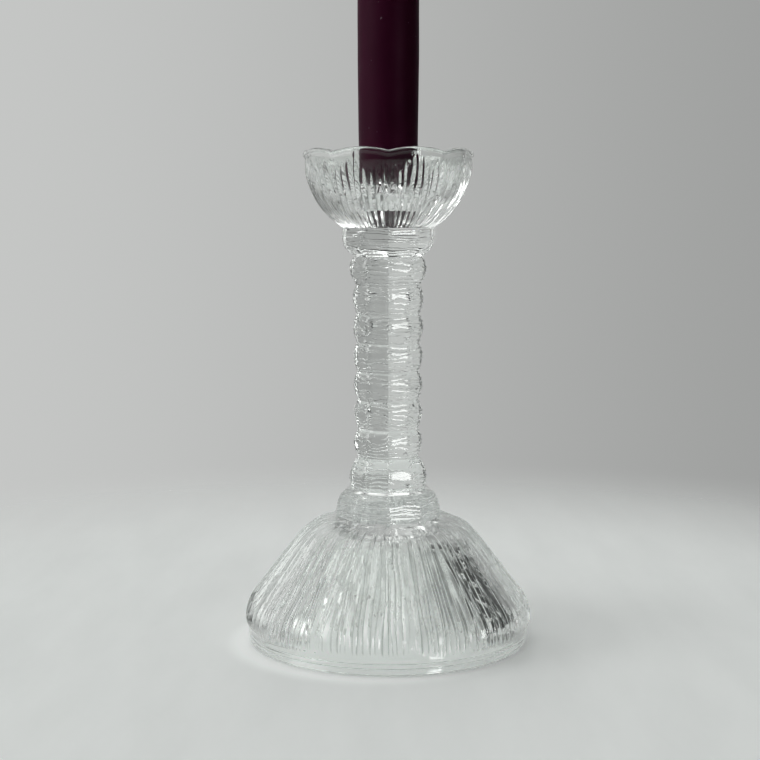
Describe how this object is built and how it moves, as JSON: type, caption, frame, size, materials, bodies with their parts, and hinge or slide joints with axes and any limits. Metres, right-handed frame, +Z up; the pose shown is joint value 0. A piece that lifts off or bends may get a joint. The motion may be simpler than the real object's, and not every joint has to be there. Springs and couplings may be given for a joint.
{
  "type": "glass candlestick",
  "caption": "Pressed-glass candlestick with a hollow domed foot, a faceted stem of stacked rings and a scalloped drip bowl whose socket holds a lift-out dinner candle.",
  "frame": {"origin": "centre of the foot's resting ring, on the table", "axes": "+Z up the stem and candle, -Y the front with a mould seam and the middle of a lip notch facing it, +X to the right of the front"},
  "size_m": [0.106, 0.106, 0.351],
  "materials": {
    "glass": "clear pressed glass with a faint grey-green tint and fine ribs",
    "wax": "satin dark aubergine candle wax",
    "wick": "braided cotton, undyed and unburnt"
  },
  "bodies": {
    "candlestick": {"glass_body": "glass"},
    "candle": {"candle_wax": "wax", "candle_wick": "wick"}
  },
  "joints": [
    {"name": "candle_lift", "type": "slide", "parent": "candlestick", "child": "candle", "axis": [0, 0, 1], "range_m": [0, 0.06]}
  ]
}
